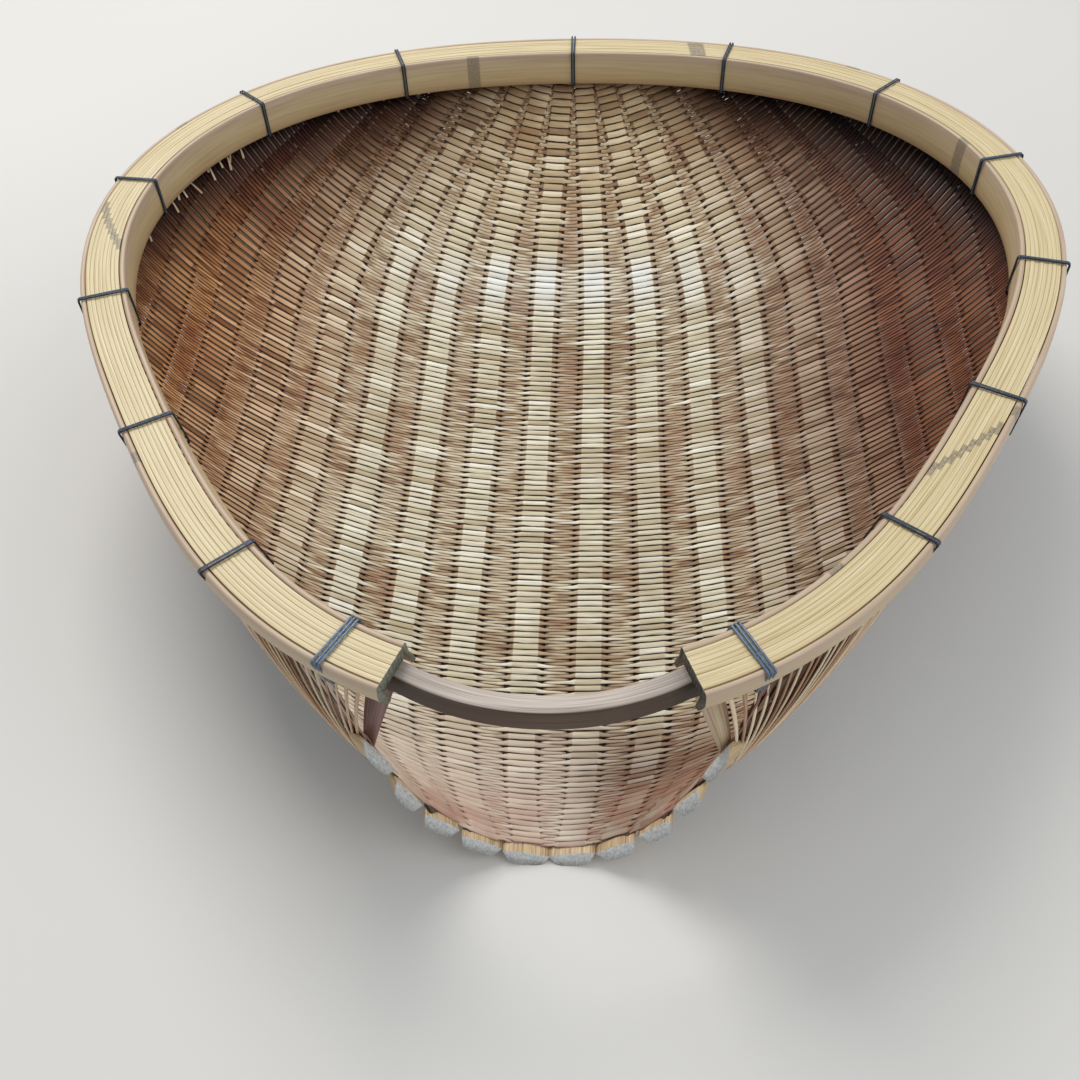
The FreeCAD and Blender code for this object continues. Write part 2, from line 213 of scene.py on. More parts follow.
# ---- weft ends that fan out below the rim beside the mouth ----
FAN_COUNT = 27
FAN_ANGLES = (130.0, 164.5)     # of the first and last strand
FAN_JITTER = 0.2
FAN_RIM_OFFSET = 8.5
FAN_BULGE = 8.0
FAN_BULGE_SHARES = (1.25, 0.55)     # at the first strand, and lost by the last
FAN_WIDTHS = (2.6, 1.0)
FAN_THICKNESS = 1.0
FOOT_PITCH = 0.6        # between the feet of two strands
FOOT_START = 3.0
ROOT_GAP = 9.0          # from the last rib of the lip to the foot
ROOT_BACK = 5.0
ROOT_DEPTH = 4.6        # outside the middle of the sheet
RIM_ENTRY = 1.5         # strands and plates end this far above the rim's underside

# ---- broken weft ends that stand up under the rim on the left ----
SLIVER_ANGLES = (-84.0, -14.0, 1.1)      # degrees: first, last and step
SLIVER_JITTER = 0.6
SLIVER_GAPS = 0.45      # share of the slivers that are missing
SLIVER_LENGTHS = (5.0, 20.0)
SLIVER_SLIDES = (-1.0, 7.0)
SLIVER_TOP = 9.0        # below the edge of the sheet
SLIVER_LIFTS = (1.6, 3.4)
SLIVER_WIDTHS = (1.7, 0.4)
SLIVER_THICKNESS = 0.5

# ---- plates on the upright edges of the mouth ----
EDGE_ANGLE = 165.8
EDGE_OFFSET = 2.0
EDGE_FORWARD = 4.0
EDGE_WIDTHS = (13.0, 3.0)       # at the rim and at the foot
EDGE_THICKNESS = 1.3

# ---- wire ties ----
WIRE = 1.15
WIRE_SLACK = 0.5        # under and over the rim
WIRE_CORNER = 1.6
WIRE_SIDES = 8
TIE_PITCH = 1.6
TIE_LEAN = 0.5          # a turn runs at most this far askew
TIE_SLIDE = 0.2         # share of such a draw by which it slides along the rim
TIE_ANGLES = (-162, -147, -123, -96, -71, -48, -26, 0, 23, 46, 67, 89, 116, 141, 162)
END_TIE_TURNS = 3
TIE_TURNS = 2

# ---- camera: its place in metres, angles in degrees, lens and sensor in millimetres ----
CAMERA_PLACE = (0.0205, -0.4914, 0.4804)
CAMERA_TURN = 4.6
CAMERA_PITCH = 48.95
CAMERA_ROLL = -2.772
CAMERA_LENS = 35.726667
CAMERA_SENSOR = 36.0


# ================= shape of the basket =================

def rim_radius(angle):
    return (RIM_MEAN_RADIUS + RIM_EGG * np.cos(angle)
            + RIM_OVAL * np.cos(2 * angle) + RIM_TRIANGLE * np.cos(3 * angle))


def rim_point(angle, offset=0.0):
    """Plan point of the rim path, moved outward; angle 0 is the back."""
    radius = rim_radius(angle)
    slope = (-RIM_EGG * np.sin(angle) - 2 * RIM_OVAL * np.sin(2 * angle)
             - 3 * RIM_TRIANGLE * np.sin(3 * angle))
    along_x = slope * np.sin(angle) + radius * np.cos(angle)
    along_y = slope * np.cos(angle) - radius * np.sin(angle)
    size = np.hypot(along_x, along_y)
    x = radius * np.sin(angle) - offset * along_y / size
    y = radius * np.cos(angle) + offset * along_x / size
    return x, y


WALL_BACK_Y = float(rim_radius(0.0)) + WALL_OFFSET


def wall_half_width(y):
    """Half the width of the bowl at the rim."""
    angle = np.linspace(math.pi, 0.0, 2000)
    rim_x, rim_y = rim_point(angle, WALL_OFFSET)
    width = np.interp(y, rim_y, rim_x)
    spout = (width ** SPOUT_BLEND + SPOUT_HALF_WIDTH ** SPOUT_BLEND) ** (1.0 / SPOUT_BLEND)
    return np.where(y > 0, width, spout)


def smooth_step(value):
    value = np.clip(value, 0.0, 1.0)
    return value * value * (3.0 - 2.0 * value)


class Sheet:
    """Middle surface of the weave, looked up by y and by distance across."""

    def __init__(self, rows=560, columns=420):
        self.low = LIP_Y - SHEET_AHEAD
        self.step = (WALL_BACK_Y - SHEET_BACK_GAP - self.low) / (rows - 1)
        y = self.low + self.step * np.arange(rows)
        along = np.clip((y - FLAT_BACK_Y) / (WALL_BACK_Y - FLAT_BACK_Y), 0, 1)
        drop = (1.0 - along ** BOTTOM_START) ** (1 / BOTTOM_END)
        bottom = (BOWL_DEPTH * (1.0 - drop))[:, None]
        blend = smooth_step((y - SECTION_Y) / SECTION_LENGTH)[:, None]
        sine = np.sin(0.5 * np.pi * np.linspace(0, 1, 500))[None, :]
        drop = 1.0 - sine ** (SPOUT_FLATNESS + FLATNESS_GAIN * blend)
        steepness = SPOUT_STEEPNESS - STEEPNESS_LOSS * blend
        rise = 1.0 - np.maximum(drop, 0.0) ** (1.0 / steepness)
        x = wall_half_width(y)[:, None] * sine
        z = SHEET_MID_Z + bottom + (BOWL_DEPTH - bottom) * rise
        x = np.concatenate([x, x[:, -1:]], 1)
        z = np.concatenate([z, np.full_like(z[:, -1:], WALL_TOP)], 1)
        length = np.cumsum(np.hypot(np.diff(x, axis=1), np.diff(z, axis=1)), 1)
        length = np.concatenate([np.zeros_like(length[:, :1]), length], 1)
        self.length = length[:, -1]
        share = np.linspace(0, 1, columns)
        self.x = np.stack([np.interp(share * l[-1], l, v) for l, v in zip(length, x)])
        self.z = np.stack([np.interp(share * l[-1], l, v) for l, v in zip(length, z)])

    def row(self, y):
        place = np.clip((y - self.low) / self.step, 0, len(self.length) - 1.001)
        index = place.astype(int)
        return index, place - index

    def half_length(self, y):
        index, part = self.row(np.asarray(y, float))
        return self.length[index] * (1 - part) + self.length[index + 1] * part

    def point(self, y, across):
        y, across = np.broadcast_arrays(np.asarray(y, float), np.asarray(across, float))
        index, part = self.row(y)
        count = self.x.shape[1]
        place = np.abs(across) / self.half_length(y) * (count - 1)
        place = np.clip(place, 0, count - 1.001)
        column = place.astype(int)
        side = place - column

        def look_up(table):
            low = table[index, column] * (1 - side) + table[index, column + 1] * side
            high = table[index + 1, column] * (1 - side) + table[index + 1, column + 1] * side
            return low * (1 - part) + high * part

        return np.stack([np.copysign(look_up(self.x), across), y, look_up(self.z)], -1)

    def frame(self, y, across):
        """Point, unit directions across and ahead, and the upward normal."""
        step = 1.5
        side = unit(self.point(y, across + step) - self.point(y, across - step))
        ahead = self.point(y + step, across) - self.point(y - step, across)
        normal = unit(np.cross(side, ahead))
        return self.point(y, across), side, np.cross(normal, side), normal


def unit(vectors):
    return vectors / np.maximum(np.linalg.norm(vectors, axis=-1, keepdims=True), 1e-9)


SHEET = Sheet()


def rib_across(number, y):
    """Distance of a rib, or of a place between ribs, from the centre line."""
    front = 1.0 - LIP_PINCH * np.exp(-np.maximum(y - LIP_Y, 0.0) / PINCH_LENGTH)
    back = np.maximum(y - BACK_PINCH_Y, 0.0) / (WALL_BACK_Y - BACK_PINCH_Y)
    ease = OUTER_EASE * smooth_step((np.abs(number) - EASE_START) / EASE_SPAN)
    return number * RIB_PITCH * front * (1.0 - BACK_PINCH * (1.0 - ease) * back * back)


def rib_pitch(number, y):
    """Distance across between the gaps on the two sides of a rib."""
    return rib_across(np.abs(number) + 0.5, y) - rib_across(np.abs(number) - 0.5, y)


def rib_numbers():
    count = LIP_RIB_COUNT + 2 * SIDE_RIBS
    return np.arange(count) - (count - 1) / 2.0


def lip_row(y, across, start=LIP_Y):
    """Y on a row that is bowed like the lip; the bow fades as start moves back."""
    bow = LIP_BOW * np.clip((BOW_END_Y - start) / (BOW_END_Y - LIP_Y), 0.0, 1.0)
    share = np.minimum(across / SHEET.half_length(y), 1.0)
    return y + bow * share * share


# ================= meshes =================

def make_mesh(name, points, faces, material, slot, **attributes):
    """Smooth object from points in millimetres; attributes have one value for each point."""
    mesh = bpy.data.meshes.new(name)
    points = np.asarray(points, float).reshape(-1, 3)
    mesh.from_pydata((points * MM).tolist(), [], faces)
    for key, values in attributes.items():
        values = np.asarray(values, np.float32)
        kind, field = ("FLOAT", "value") if values.ndim == 1 else ("FLOAT_VECTOR", "vector")
        layer = mesh.attributes.new(key, kind, "POINT")
        layer.data.foreach_set(field, values.ravel())
    mesh.polygons.foreach_set("use_smooth", [True] * len(mesh.polygons))
    mesh.materials.append(material)
    piece = bpy.data.objects.new(name, mesh)
    bpy.context.scene.collection.objects.link(piece)
    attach(piece, "root")
    return piece


def tube_faces(rings, ring_size, closed=False):
    """Quads between rings of points, with end caps unless it is closed."""
    ring = np.arange(rings - (0 if closed else 1))[:, None]
    spot = np.arange(ring_size)[None, :]
    after = (ring + 1) % rings
    turn = (spot + 1) % ring_size
    quads = np.stack(np.broadcast_arrays(
        ring * ring_size + spot, ring * ring_size + turn,
        after * ring_size + turn, after * ring_size + spot), -1).reshape(-1, 4).tolist()
    if not closed:
        quads.append(list(range(ring_size))[::-1])
        quads.append([(rings - 1) * ring_size + i for i in range(ring_size)])
    return quads


def rounded_outline(width, height, radius, corner_steps=3):
    """Rectangle outline with round corners, centred, as (across, up) pairs."""
    outline = []
    corners = [(1, 1, 0), (-1, 1, 90), (-1, -1, 180), (1, -1, 270)]
    for side, up, start in corners:
        for i in range(corner_steps + 1):
            angle = math.radians(start + 90.0 * i / corner_steps)
            outline.append((side * (width / 2 - radius) + radius * math.cos(angle),
                            up * (height / 2 - radius) + radius * math.sin(angle)))
    return np.array(outline)


def sweep_points(path, side, up, outline):
    """Rings of an outline carried along a path; outline may differ by ring."""
    outline = np.broadcast_to(outline, (len(path),) + np.shape(outline)[-2:])
    return (path[:, None, :] + side[:, None, :] * outline[:, :, :1]
            + up[:, None, :] * outline[:, :, 1:])


def grain_of(rings, seed):
    """Along, around and seed values in millimetres for the bamboo grain."""
    step = np.linalg.norm(np.diff(rings.mean(1), axis=0), axis=1)
    along = np.concatenate([[0.0], np.cumsum(step)])
    ring = rings[len(rings) // 2]
    around = np.cumsum(np.linalg.norm(np.diff(ring, axis=0, prepend=ring[:1]), axis=1))
    along, around = np.meshgrid(along, around, indexing="ij")
    return np.stack([along, around, np.full_like(along, seed)], -1).reshape(-1, 3)


def make_tube(name, rings, material, slot, seed=0.0, **extra):
    return make_mesh(name, rings, tube_faces(*rings.shape[:2]), material, slot,
                     grain=grain_of(rings, seed), **extra)


def sweep(name, path, side, up, outline, material, slot, seed=0.0, **extra):
    return make_tube(name, sweep_points(path, side, up, outline), material, slot, seed, **extra)


class Bundle:
    """Tubes such as splints or wire turns, gathered into one mesh."""

    def __init__(self):
        self.points = []
        self.faces = []
        self.values = {}
        self.count = 0

    def add(self, rings, seed, closed=False, **values):
        """Add a tube; a value is one number, or differs by ring, around the ring or both."""
        shape = rings.shape[:2]
        self.faces += [[self.count + i for i in face] for face in tube_faces(*shape, closed)]
        self.count += shape[0] * shape[1]
        self.points.append(rings.reshape(-1, 3))
        self.values.setdefault("grain", []).append(grain_of(rings, seed))
        for key, value in values.items():
            self.values.setdefault(key, []).append(np.broadcast_to(value, shape).ravel())

    def mesh(self, name, material, slot):
        values = {key: np.concatenate(parts) for key, parts in self.values.items()}
        return make_mesh(name, np.concatenate(self.points), self.faces, material, slot, **values)


# ================= weave =================

def centre_rows():
    """Y of every weft on the centre line, from the lip to the back rim."""
    y = np.linspace(LIP_Y - LIP_REACH, WALL_BACK_Y - BACK_MARGIN, 1400)
    step = np.linalg.norm(np.diff(SHEET.point(y, 0.0), axis=0), axis=1)
    pitch = WEFT_PITCH + BACK_PITCH_GAIN * smooth_step((y - BACK_PITCH_Y) / BACK_PITCH_LENGTH)
    pitch = pitch - WORN_PITCH_LOSS * smooth_step((WORN_Y - y) / WORN_PITCH_LENGTH)
    count = np.concatenate([[0.0], np.cumsum(step / pitch[1:])])
    return np.interp(np.arange(int(count[-1]) + 1), count, y)


def follow_rows():
    """Y of every row at every column; the rows bend back towards the sides."""
    columns = np.arange(0.0, LAST_COLUMN + 0.1 * COLUMN_STEP, COLUMN_STEP)
    start = centre_rows()
    straight = start
    table = []
    for column in columns:
        table.append(lip_row(straight, rib_across(column, straight), start))
        gain = ROW_LEAN_GAIN * math.tanh(column / ROW_LEAN_SPREAD)
        lean = gain * np.interp(straight, ROW_LEAN_Y, ROW_LEAN)
        straight = np.minimum(straight + COLUMN_STEP * lean, WALL_BACK_Y - BACK_MARGIN)
    return columns, np.array(table).T


COLUMNS, ROW_Y = follow_rows()
ROWS = np.arange(len(ROW_Y))


def row_y(columns):
    """Y of every row at its own columns, or at the same ones for all rows."""
    columns = np.broadcast_to(columns, (len(ROWS), np.shape(columns)[-1]))
    return np.stack([np.interp(np.minimum(np.abs(place), LAST_COLUMN), COLUMNS, row)
                     for place, row in zip(columns, ROW_Y)])


def weft_samples():
    """Sample places along a weft: the rib they belong to and the place in it.

    The place is 0 at the middle of a rib, 1 at its edge and 2 in the middle
    of the gap to the next rib.
    """
    places = np.array([-2.0, -1.6, -1.3, -1.07, -0.98, 0.0, 0.98, 1.07, 1.3, 1.6])
    numbers = np.arange(-OUTER_COLUMN, OUTER_COLUMN + 0.5)
    return np.repeat(numbers, len(places)), np.tile(places, len(numbers))


def weft_grid():
    """Where every weft is at every sample and how it weaves there, as rows by samples."""
    number, place = weft_samples()
    edge = 0.5 * RIB_WIDTH / rib_pitch(number, row_y(number))
    size = np.abs(place)
    local = np.where(size <= 1, size * edge, edge + (size - 1) * (0.5 - edge))
    column = number + np.sign(place) * local
    y = row_y(column)
    across = rib_across(column, y)
    parity = (np.round(number + OUTER_COLUMN).astype(int)[None, :] + ROWS[:, None]) % 2
    over = np.where(parity == 0, 1.0, -1.0)
    gap = np.clip(size - 1.0, 0, 1)
    fade = np.clip(FADE_COLUMN - np.abs(column), 0.0, 1.0)
    worn = smooth_step((WORN_Y - y) / WORN_LENGTH)
    outer = smooth_step((np.abs(column) - SIDE_COLUMN) / SIDE_SPAN)
    on_rib = size < 1.0
    return SimpleNamespace(
        y=y, across=across, inside=np.abs(across) < SHEET.half_length(y),
        height=over * (1.0 - gap) ** 2.0 * fade * weft_swing(worn, outer),
        fill=weft_fill(over, gap, worn, outer), brick=on_rib * (over > 0) * fade,
        cell=np.round(column - 0.5 + RIB_CELLS * on_rib).astype(int), outer=outer)


def weft_swing(worn, outer):
    """Share of its lift that a splint keeps; the worn front and the sides are flatter."""
    kept = 1.0 - np.maximum(WORN_FLATTENING * worn, SIDE_FLATTENING * outer)
    return LEAST_SWING + (1.0 - LEAST_SWING) * kept


def weft_fill(over, gap, worn, outer):
    """Width of a splint as a share of the pitch: wide over a rib, narrow where it dives."""
    spread = ON_RIB_FILL - 1.0 + WORN_SPREAD * worn
    spread = spread * np.exp(-gap / SPREAD_LENGTH) * (1.0 - SIDE_SPREAD_LOSS * outer)
    kept = 1.0 - np.maximum(SIDE_TAPER_LOSS * outer, WORN_TAPER_LOSS * worn)
    taper = -TAPER * np.exp(-gap / TAPER_LENGTH) * kept
    return (IN_GAP_FILL + np.where(over > 0, spread, taper)) * (1.0 + SIDE_FILL_GAIN * outer)


def weft_width(point, fill):
    """Width of every splint, from the distance to the next row."""
    row_gap = np.linalg.norm(np.diff(point, axis=0), axis=-1)
    row_gap = np.concatenate([row_gap, row_gap[-1:]], 0)
    row_gap = np.clip(row_gap, ROW_GAPS[0] * WEFT_PITCH, ROW_GAPS[1] * WEFT_PITCH)
    return row_gap * fill * CHANCE.uniform(*WEFT_WIDTHS, (len(ROWS), 1))


def weft_tint(cell):
    """Tone from 0 to 1 of every splint, drawn for its cell and for its whole row."""
    cell_tint = CHANCE.uniform(0, 1, (len(ROWS), TONE_CELLS))
    row_tint = CHANCE.uniform(0, 1, (len(ROWS), 1))
    cell_tint = np.take_along_axis(cell_tint, cell + GAP_CELL, 1)
    return CELL_SHARE * cell_tint + (1.0 - CELL_SHARE) * row_tint


def weft_band(name, rows, weft, material):
    """One piece that holds the splints of neighbouring rows."""
    section = np.array(WEFT_SECTION)
    facing = np.sign(section[:, 1])
    band = Bundle()
    for row in rows:
        kept = np.flatnonzero(weft.inside[row])
        if len(kept) < 3:
            continue
        span = slice(kept[0], kept[-1] + 1)
        top = np.where(facing == 0, 1.0, 1.0 - TOP_LOSS * weft.outer[row, span, None])
        across = section[:, 0] * top * weft.width[row, span, None]
        up = np.broadcast_to(section[:, 1] * WEFT_THICKNESS, across.shape)
        rings = sweep_points(weft.raised[row, span], weft.flat[row, span],
                             weft.face[row, span], np.stack([across, up], -1))
        # level sets the painted shade of each face: dark where the splint dives and on its edges
        level = np.where(facing == 0, EDGE_LEVEL, weft.height[row, span, None] * facing)
        band.add(rings, seed=3.7 * row, raised=level, tint=weft.tint[row, span, None],
                 brick=weft.brick[row, span, None], below=0.5 - 0.5 * facing)
    return band.mesh(name, material, "woven_bamboo")


def weave(material):
    """All the splints of the bowl, in bands from the lip to the back."""
    weft = weft_grid()
    y = weft.y + CHANCE.normal(0, WEFT_WOBBLE, weft.y.shape)
    point, _, _, normal = SHEET.frame(y, weft.across)
    weft.raised = point + normal * (weft.height * WEFT_LIFT)[..., None]
    tangent = unit(np.gradient(weft.raised, axis=1))
    weft.flat = unit(np.cross(normal, tangent))
    weft.face = unit(np.cross(tangent, weft.flat))
    weft.width = weft_width(point, weft.fill)
    weft.tint = weft_tint(weft.cell)
    bounds = np.linspace(0, len(ROWS), WEFT_PIECES + 1).astype(int)
    pieces = [weft_band("weft_%02d" % (index + 1), range(*bounds[index:index + 2]), weft, material)
              for index in range(WEFT_PIECES)]
    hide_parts("woven_sheet")


def rib_path(number):
    """Y values of a rib from just inside the lip or rim to the back rim."""
    y = np.linspace(LIP_Y, WALL_BACK_Y - BACK_MARGIN, 700)
    across = rib_across(number, y)
    half_length = SHEET.half_length(y)
    room = 0.5 if abs(number) < LIP_RIB_COUNT / 2 else 2.0
    share = np.minimum(np.abs(across) / half_length, 1.0)
    kept = half_length - np.abs(across) > room
    kept = kept & (y >= LIP_Y + LIP_BOW * share * share)
    kept = np.flatnonzero(kept & (SHEET.point(y, across)[:, 2] < WALL_TOP - 2.0))
    return np.linspace(y[kept[0]], y[kept[-1]], 90)


def rib(index, number, material):
    y = rib_path(number)
    point, _, _, normal = SHEET.frame(y, rib_across(number, y))
    tangent = unit(np.gradient(point, axis=0))
    side = unit(np.cross(tangent, normal))
    pitch = rib_pitch(number, y)
    half = np.minimum(RIB_WIDTH / 2 + RIB_SPARE, RIB_SHARE * pitch)
    shoulder = np.clip(RIB_SHARE * pitch, half, RIB_SHOULDER)
    turn, level = np.array(RIB_SECTION).T
    across = turn * np.where(level == 0, shoulder[:, None], half[:, None])
    up = np.broadcast_to(0.5 * RIB_THICKNESS * level, across.shape)
    shade = np.where(level == 0, SHOULDER_SHADE, RIB_SHADE)
    seed = float(CHANCE.uniform(0, 100))
    piece = sweep("slat_%02d" % (index + 1), point, side, normal, np.stack([across, up], -1),
                  material, "rib_bamboo", seed, shade=np.tile(shade, len(y)))
    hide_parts("rib_%02d" % (index + 1))


def lip_end_outline(width, depth):
    """Section of a lip end: a slightly crowned top and a belly with round corners."""
    share = np.linspace(1.0, -1.0, 9)
    upper = np.stack([share, -LIP_END_CROWN * share ** 2], -1)
    inner = share[1:-1]
    lower = np.stack([-inner * 0.98, LIP_END_BELLY * inner ** 4 - 1.0], -1)
    return np.concatenate([upper, lower]) * [width / 2, depth]


def lip_end(index, number, material):
    """Thick rounded free end of a rib at the lip."""
    y = lip_row(LIP_Y, rib_across(number, LIP_Y))
    point, side, ahead, normal = SHEET.frame(y, rib_across(number, y))
    outermost = abs(number) > LIP_RIB_COUNT / 2 - 1
    if outermost:
        side = unit(side * OUTERMOST_TURN)
        normal = unit(np.cross(side, ahead))
    steps, depths, tops, widths = np.array(LIP_END_SECTIONS).T
    steps[-LOOSE_SECTIONS:] += CHANCE.uniform(-LOOSE_REACH, LOOSE_REACH)
    widths = LIP_END_WIDTH * widths
    widths = widths * CHANCE.uniform(*LIP_END_SPREAD) * (OUTERMOST_GAIN if outermost else 1.0)
    tilt = CHANCE.uniform(-LIP_END_TILT, LIP_END_TILT)
    rings = []
    for step, depth, top, width in zip(steps, depths, tops, widths):
        outline = lip_end_outline(width, depth)
        outline[:, 1] += top + tilt * outline[:, 0]
        ring = point + ahead * step + side * outline[:, :1] + normal * outline[:, 1:]
        slant = LIP_END_SLANT * np.clip(-step / LIP_END_REACH, 0, 1)
        rings.append(ring - ahead * (slant * (top - outline[:, 1:]) / LIP_END_THICKNESS))
    rings = np.array(rings)
    rings[..., 2] = np.maximum(rings[..., 2], 0.0)
    cut = np.repeat(np.arange(len(steps)) == len(steps) - 1, rings.shape[1])
    make_tube("lip_end_%02d" % (index + 1), rings, material, "rib_bamboo", seed=5.0 * index, cut=cut)


# ================= rim =================

def lean_section(angle, across, up):
    """Rim section at this angle: towards the mouth it is lower and leans inward."""
    share = (np.abs(angle) - FRONT_ANGLE) / (RIM_END_ANGLE - FRONT_ANGLE)
    front = smooth_step(share * FRONT_RATE)
    below = np.maximum(RIM_TOP - STRIP_HEIGHT - up, 0.0)
    return across - FRONT_LEAN * front * below, up + FRONT_LOSS * front * below


def rim_sweep(name, offset, middle_z, outline, material, slot, seed, shift=None, scars=()):
    """Band that follows the rim; scars are its node marks as (angle, half width).

    The value cut is 0.5 on the sawn end at the left of the mouth and 1 on the right one.
    """
    end = RIM_END_ANGLE - END_SLICE
    angle = np.linspace(-RIM_END_ANGLE, RIM_END_ANGLE, RIM_STEPS + 1)
    marks = [mark + side * wide for mark, wide in scars for side in (-1.0, -0.5, 0.0, 0.5, 1.0)]
    angle = np.unique(np.concatenate([angle, [-end, end], marks]))
    x, y = rim_point(angle, offset)
    out_x, out_y = rim_point(angle, offset + 1.0)
    path = np.stack([x, y, np.full_like(x, middle_z)], -1)
    outward = np.stack([out_x - x, out_y - y, np.zeros_like(x)], -1)
    up = np.broadcast_to(UP, path.shape)
    if shift is not None:
        path = path + up * shift(angle)[:, None]
    size = len(outline)
    across, height = lean_section(angle[:, None], outline[:, 0] + offset, outline[:, 1] + middle_z)
    outline = np.stack([across - offset, height - middle_z], -1)
    scar = np.zeros_like(angle)
    for mark, wide in scars:
        scar = np.maximum(scar, 1.0 - np.abs(angle - mark) / wide)
    left = angle < -end - END_SLICE / 2
    right = angle > end + END_SLICE / 2
    return sweep(name, path, outward, up, outline, material, slot, seed,
                 scar=np.repeat(scar, size), cut=np.repeat(left * 0.5 + right, size))


def hoop_outline(sign):
    """Section of a hoop: flat towards the strips, gently bulged on its skin side."""
    outline = rounded_outline(HOOP_THICKNESS, HOOP_HEIGHT, HOOP_CORNER)
    skin = outline[:, 0] * sign > 0
    bulge = HOOP_BULGE * (1.0 - (2.0 * outline[:, 1] / HOOP_HEIGHT) ** 2)
    outline[:, 0] += sign * skin * bulge
    middle = np.array([(sign * (HOOP_THICKNESS / 2 + HOOP_BULGE * (1.0 - share * share)),
                        share * HOOP_HEIGHT / 2) for share in (0.6, 0.3, 0.0, -0.3, -0.6)])
    return insert_side(outline, middle, sign)


def insert_side(outline, middle, sign):
    """Outline with the middle points put into its skin side."""
    if sign > 0:
        return np.concatenate([outline, middle[::-1]])
    cut = int(np.flatnonzero(outline[:, 0] < 0)[len(outline) // 4 - 1]) + 1
    return np.concatenate([outline[:cut], middle, outline[cut:]])


def hoops(material):
    for name, sign, nodes in (("inner_hoop", -1, INNER_NODES), ("outer_hoop", 1, OUTER_NODES)):
        offset = sign * (RIM_WIDTH - HOOP_THICKNESS) / 2
        scars = [(math.radians(node), HOOP_SCAR) for node in nodes]
        piece = rim_sweep("rim_" + name, offset, RIM_TOP - HOOP_HEIGHT / 2, hoop_outline(sign),
                          material, "hoop_bamboo", 20.0 * sign, scars=scars)
        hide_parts(name)


def strips(material):
    room = RIM_WIDTH - 2 * HOOP_THICKNESS - 2 * SIDE_SEAM
    pitch = room / STRIP_COUNT
    outline = rounded_outline(pitch - STRIP_SEAM, STRIP_HEIGHT, STRIP_CORNER)
    for index in range(STRIP_COUNT):
        offset = -room / 2 + (index + 0.5) * pitch
        seed = float(CHANCE.uniform(0, 100))
        drop = CHANCE.uniform(-STRIP_DROP, 0.0)
        across = (index + 0.5) / STRIP_COUNT
        scars = [(math.radians(inner + (outer - inner) * across), STRIP_SCAR)
                 for inner, outer in STRIP_NODES]

        def shift(angle, seed=seed, drop=drop):
            return drop + sum(high * np.sin(waves * angle + seed) for high, waves in STRIP_WAVES)

        piece = rim_sweep("cap_strip_%02d" % (index + 1), offset,
                          RIM_TOP - STRIP_HEIGHT / 2, outline, material,
                          "strip_bamboo", seed, shift, scars)
        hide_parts("rim_strip_%02d" % (index + 1))


def bar_path(offset, middle_y):
    """Plan points of a line along the bar, from the left end to the right."""
    tail = np.linspace(RIM_END_ANGLE, BAR_TAIL_ANGLE, 8)
    tail_x, tail_y = rim_point(tail, offset)
    drop = tail_y[0] - middle_y
    radius = (tail_x[0] ** 2 + drop ** 2) / (2 * drop)
    x = np.linspace(0, tail_x[0], 30)[:-1]
    y = middle_y + radius - np.sqrt(radius ** 2 - x ** 2)
    x = np.concatenate([x, tail_x])
    y = np.concatenate([y, tail_y])
    return np.concatenate([-x[:0:-1], x]), np.concatenate([y[:0:-1], y])


def mouth_bar(material):
    x, y = bar_path(BAR_OFFSET - BAR_WIDTH / 2, BAR_FRONT_Y + BAR_WIDTH / 2)
    path = np.stack([x, y, np.full_like(x, BAR_TOP - BAR_HEIGHT / 2)], -1)
    tangent = unit(np.gradient(path, axis=0))
    up = np.broadcast_to(UP, path.shape)
    outline = rounded_outline(BAR_WIDTH, BAR_HEIGHT, BAR_CORNER)
    piece = sweep("bent_bar", path, np.cross(tangent, up), up, outline, material, "bar_bamboo")
    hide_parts("mouth_bar")


def tie(index, material):
    """Wire turns round the rim section."""
    angle = math.radians(TIE_ANGLES[index])
    turns = END_TIE_TURNS if index in (0, len(TIE_ANGLES) - 1) else TIE_TURNS
    x, y = rim_point(angle)
    out_x, out_y = rim_point(angle, 1.0)
    outward = np.array([out_x - x, out_y - y, 0.0])
    along = np.array([-outward[1], outward[0], 0.0])
    middle = np.array([x, y, RIM_TOP - HOOP_HEIGHT / 2])
    loop = rounded_outline(RIM_WIDTH + 2 * HOOP_BULGE + WIRE, HOOP_HEIGHT + WIRE + WIRE_SLACK,
                           WIRE_CORNER, 5)
    loop = np.stack(lean_section(angle, loop[:, 0], loop[:, 1] + middle[2]), -1) - [0, middle[2]]
    circle = np.linspace(0, 2 * math.pi, WIRE_SIDES + 1)[:-1]
    wires = Bundle()
    for turn in range(turns):
        shift = (turn - (turns - 1) / 2) * TIE_PITCH
        lean = CHANCE.uniform(-TIE_LEAN, TIE_LEAN, 2)
        path = middle + outward * loop[:, :1] + UP * loop[:, 1:]
        path = path + along * (shift + lean[0] * loop[:, :1] / RIM_WIDTH + TIE_SLIDE * lean[1])
        radial = unit(outward * loop[:, :1] + UP * loop[:, 1:])
        rings = (path[:, None] + radial[:, None] * (np.cos(circle) * WIRE / 2)[None, :, None]
                 + along * (np.sin(circle) * WIRE / 2)[None, :, None])
        # Where the painted highlight of the wire goes: the side facing the other turn, or all round on
        # end ties
        inner = -np.sign(shift) * np.sin(circle) if turns == TIE_TURNS else 0.7
        wires.add(rings, seed=9.0 * index + turn, closed=True, inner=inner)
    piece = wires.mesh("tie_%02d" % (index + 1), material, "tie_wire")
    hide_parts("wire_tie_%02d" % (index + 1))


def side_name(side):
    return "left" if side < 0 else "right"


def wall_root(side):
    """Point on the outside of the wall beside the last lip end, and the ahead direction."""
    across = rib_across(LIP_RIB_COUNT / 2 - 0.5, LIP_Y) + ROOT_GAP
    y = lip_row(LIP_Y, across) + ROOT_BACK
    point, _, ahead, normal = SHEET.frame(np.array([y]), np.array([side * across]))
    return point[0] - normal[0] * ROOT_DEPTH, ahead[0]


